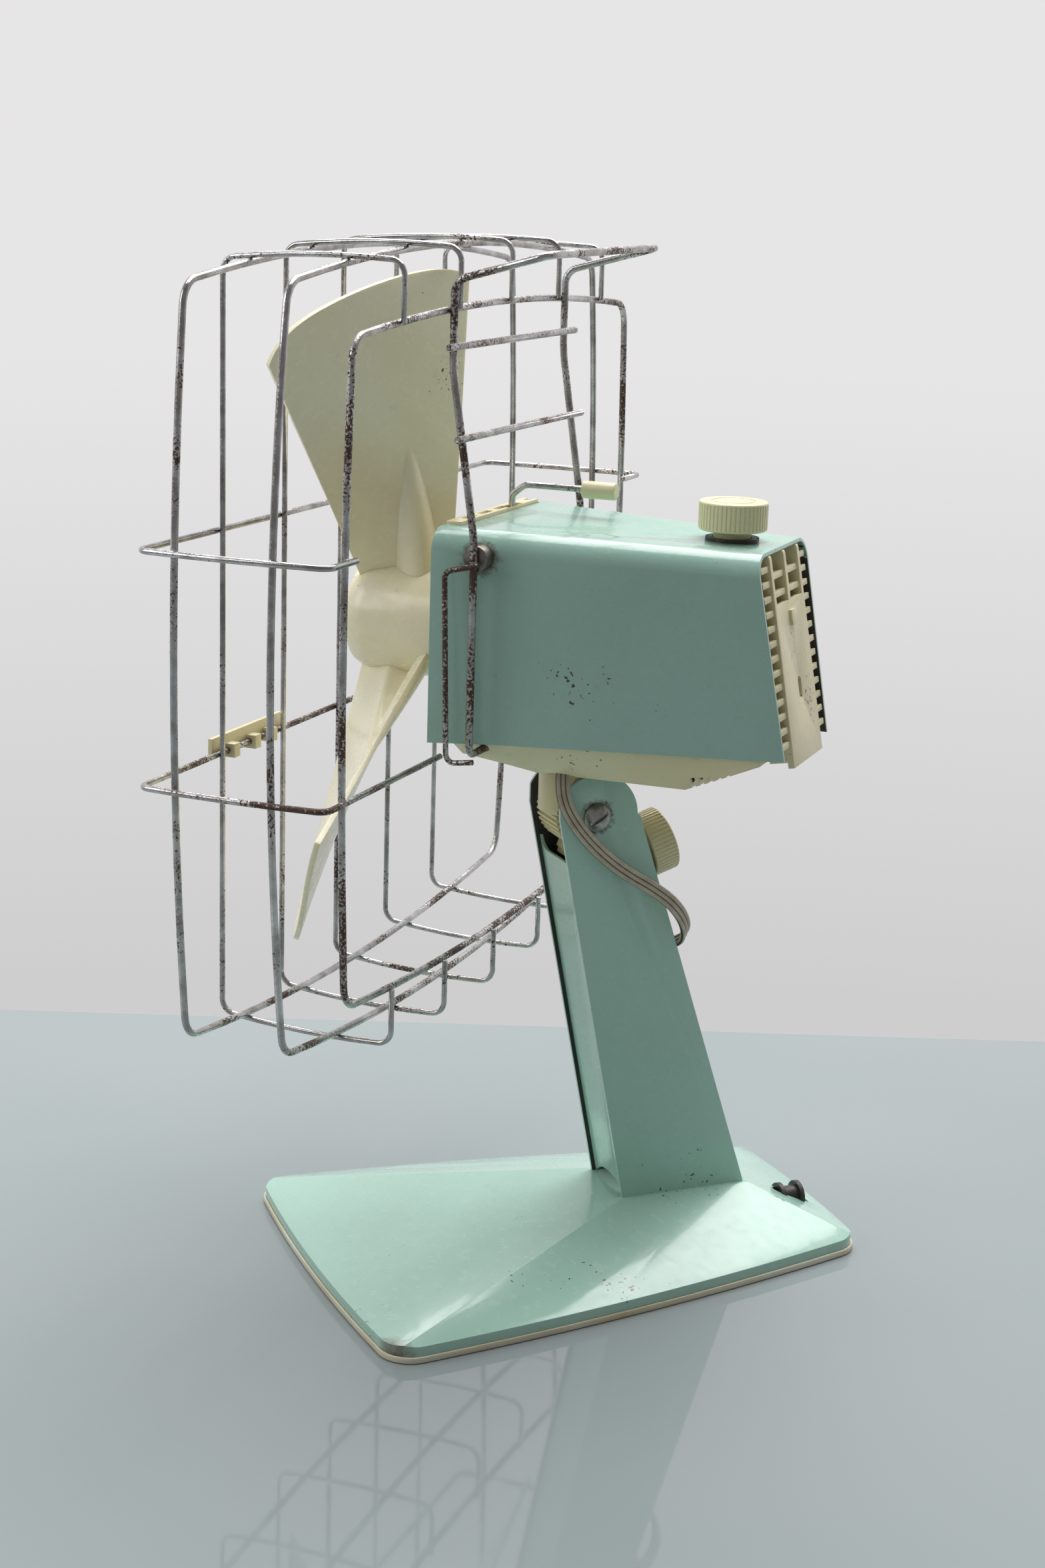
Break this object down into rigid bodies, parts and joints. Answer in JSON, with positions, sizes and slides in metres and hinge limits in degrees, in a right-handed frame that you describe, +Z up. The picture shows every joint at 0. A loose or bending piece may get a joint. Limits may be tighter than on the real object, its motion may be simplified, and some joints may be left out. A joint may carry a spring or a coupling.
{
  "type": "desk fan",
  "caption": "Oscillating tilting desk fan: pressed base and leaning column, geared tilt knob, boxy motor head, twisted blades and a square wire guard with carrying handle",
  "frame": {"origin": "middle of the base's underside, on the surface that the fan stands on", "axes": "+Z up, -Y the base's wide front, +X the side that the tilt screw's head is on; the head is stored at one end of its swing, turned 45 degrees towards -X"},
  "size_m": [0.2436, 0.2683, 0.3644],
  "materials": {
    "black": "black moulded plastic",
    "board": "dark fibre board",
    "brass": "sintered bronze and brass",
    "copper": "enamelled copper winding with tape",
    "cream": "cream moulded plastic, slightly yellowed",
    "cream_blade": "cream moulded blades",
    "diecast": "die-cast, as cast",
    "flex": "grey-cream flat flex",
    "laminated": "varnished laminated iron",
    "mint": "mint-green stove enamel, satin",
    "plated": "zinc-plated steel",
    "wire": "bright plated wire"
  },
  "bodies": {
    "stand": {"base_shell": "mint", "base_edge_strip": "cream", "base_board": "board", "mains_grommet": "black", "column": "mint", "foot_plate": "plated", "foot_bolts": "plated", "tilt_screw": "plated", "tilt_nut": "plated", "worm_bracket": "plated", "flex": "flex", "flex_clip": "black"},
    "tilt_drive": {"tilt_worm": "plated", "tilt_knob": "cream"},
    "neck": {"neck": "cream", "flex_clamp": "cream"},
    "head": {"head_shell": "mint", "front_frame": "cream", "rear_grille": "cream", "bottom_tray": "cream", "switch_body": "black", "knob_bezel": "black", "lever_pin": "plated", "motor_stack": "laminated", "motor_coil": "copper", "bearing_brackets": "plated", "motor_bushes": "brass", "motor_screws": "plated", "carrier": "plated", "pan_spindle": "plated", "spindle_clip": "plated", "thrust_washer": "brass", "gear_case": "diecast", "gear_cover": "plated", "terminal_block": "black", "guard_hoop_front": "wire", "guard_hoop_middle": "wire", "guard_hoop_rear": "wire", "guard_wires_outer": "wire", "guard_wires_inner": "wire", "guard_wire_middle": "wire", "guard_band_upper": "wire", "guard_band_lower": "wire", "guard_stays": "wire", "guard_rungs": "wire", "guard_hooks": "wire", "stay_bosses": "plated", "badge_clip": "cream"},
    "rotor": {"motor_core": "laminated", "motor_shaft": "plated", "swing_worm": "brass", "fan_blades": "cream_blade", "fan_nut": "cream_blade"},
    "swing_gear": {"swing_wheel": "brass", "swing_crank": "plated"},
    "swing_link": {"swing_link": "plated"},
    "switch": {"switch_knob": "cream", "switch_spindle": "plated"},
    "lever": {"lever_rod": "wire", "lever_tip": "cream"}
  },
  "joints": [
    {"name": "tilt", "type": "hinge", "parent": "stand", "child": "neck", "pos_m": [0, -0.0017, 0.1661], "axis": [1, 0, 0], "range_deg": [-15, 18], "deforming": ["flex"]},
    {"name": "tilt_knob", "type": "hinge", "parent": "stand", "child": "tilt_drive", "pos_m": [0, 0.00579, 0.14393], "axis": [0, 0.9473, 0.3202], "range_deg": [-900, 900]},
    {"name": "pan", "type": "hinge", "parent": "neck", "child": "head", "pos_m": [0, -0.0017, 0.1661], "axis": [0, 0, 1], "range_deg": [0, 90]},
    {"name": "rotor", "type": "hinge", "parent": "head", "child": "rotor", "pos_m": [0, -0.0017, 0.2291], "axis": [0.7071, 0.7071, 0], "continuous": true},
    {"name": "swing_gear", "type": "hinge", "parent": "head", "child": "swing_gear", "pos_m": [0.02663, 0.0042, 0.2291], "axis": [0, 0, 1], "continuous": true},
    {"name": "swing_link", "type": "hinge", "parent": "neck", "child": "swing_link", "pos_m": [0.01149, -0.0012, 0.1856], "axis": [0, 0, 1], "range_deg": [0, 104.4]},
    {"name": "switch", "type": "hinge", "parent": "head", "child": "switch", "pos_m": [0.0362, 0.0345, 0.2711], "axis": [0, 0, 1], "range_deg": [0, 270]},
    {"name": "lever", "type": "hinge", "parent": "head", "child": "lever", "pos_m": [-0.03974, -0.02136, 0.2521], "axis": [0.7071, 0.7071, 0], "range_deg": [-10, 10]}
  ],
  "couplings": [
    {"joint": "tilt_knob", "follows": "tilt", "ratio": -50},
    {"joint": "swing_gear", "follows": "rotor", "ratio": 0.033333},
    {"joint": "swing_link", "follows": "pan", "ratio": 1.16}
  ]
}
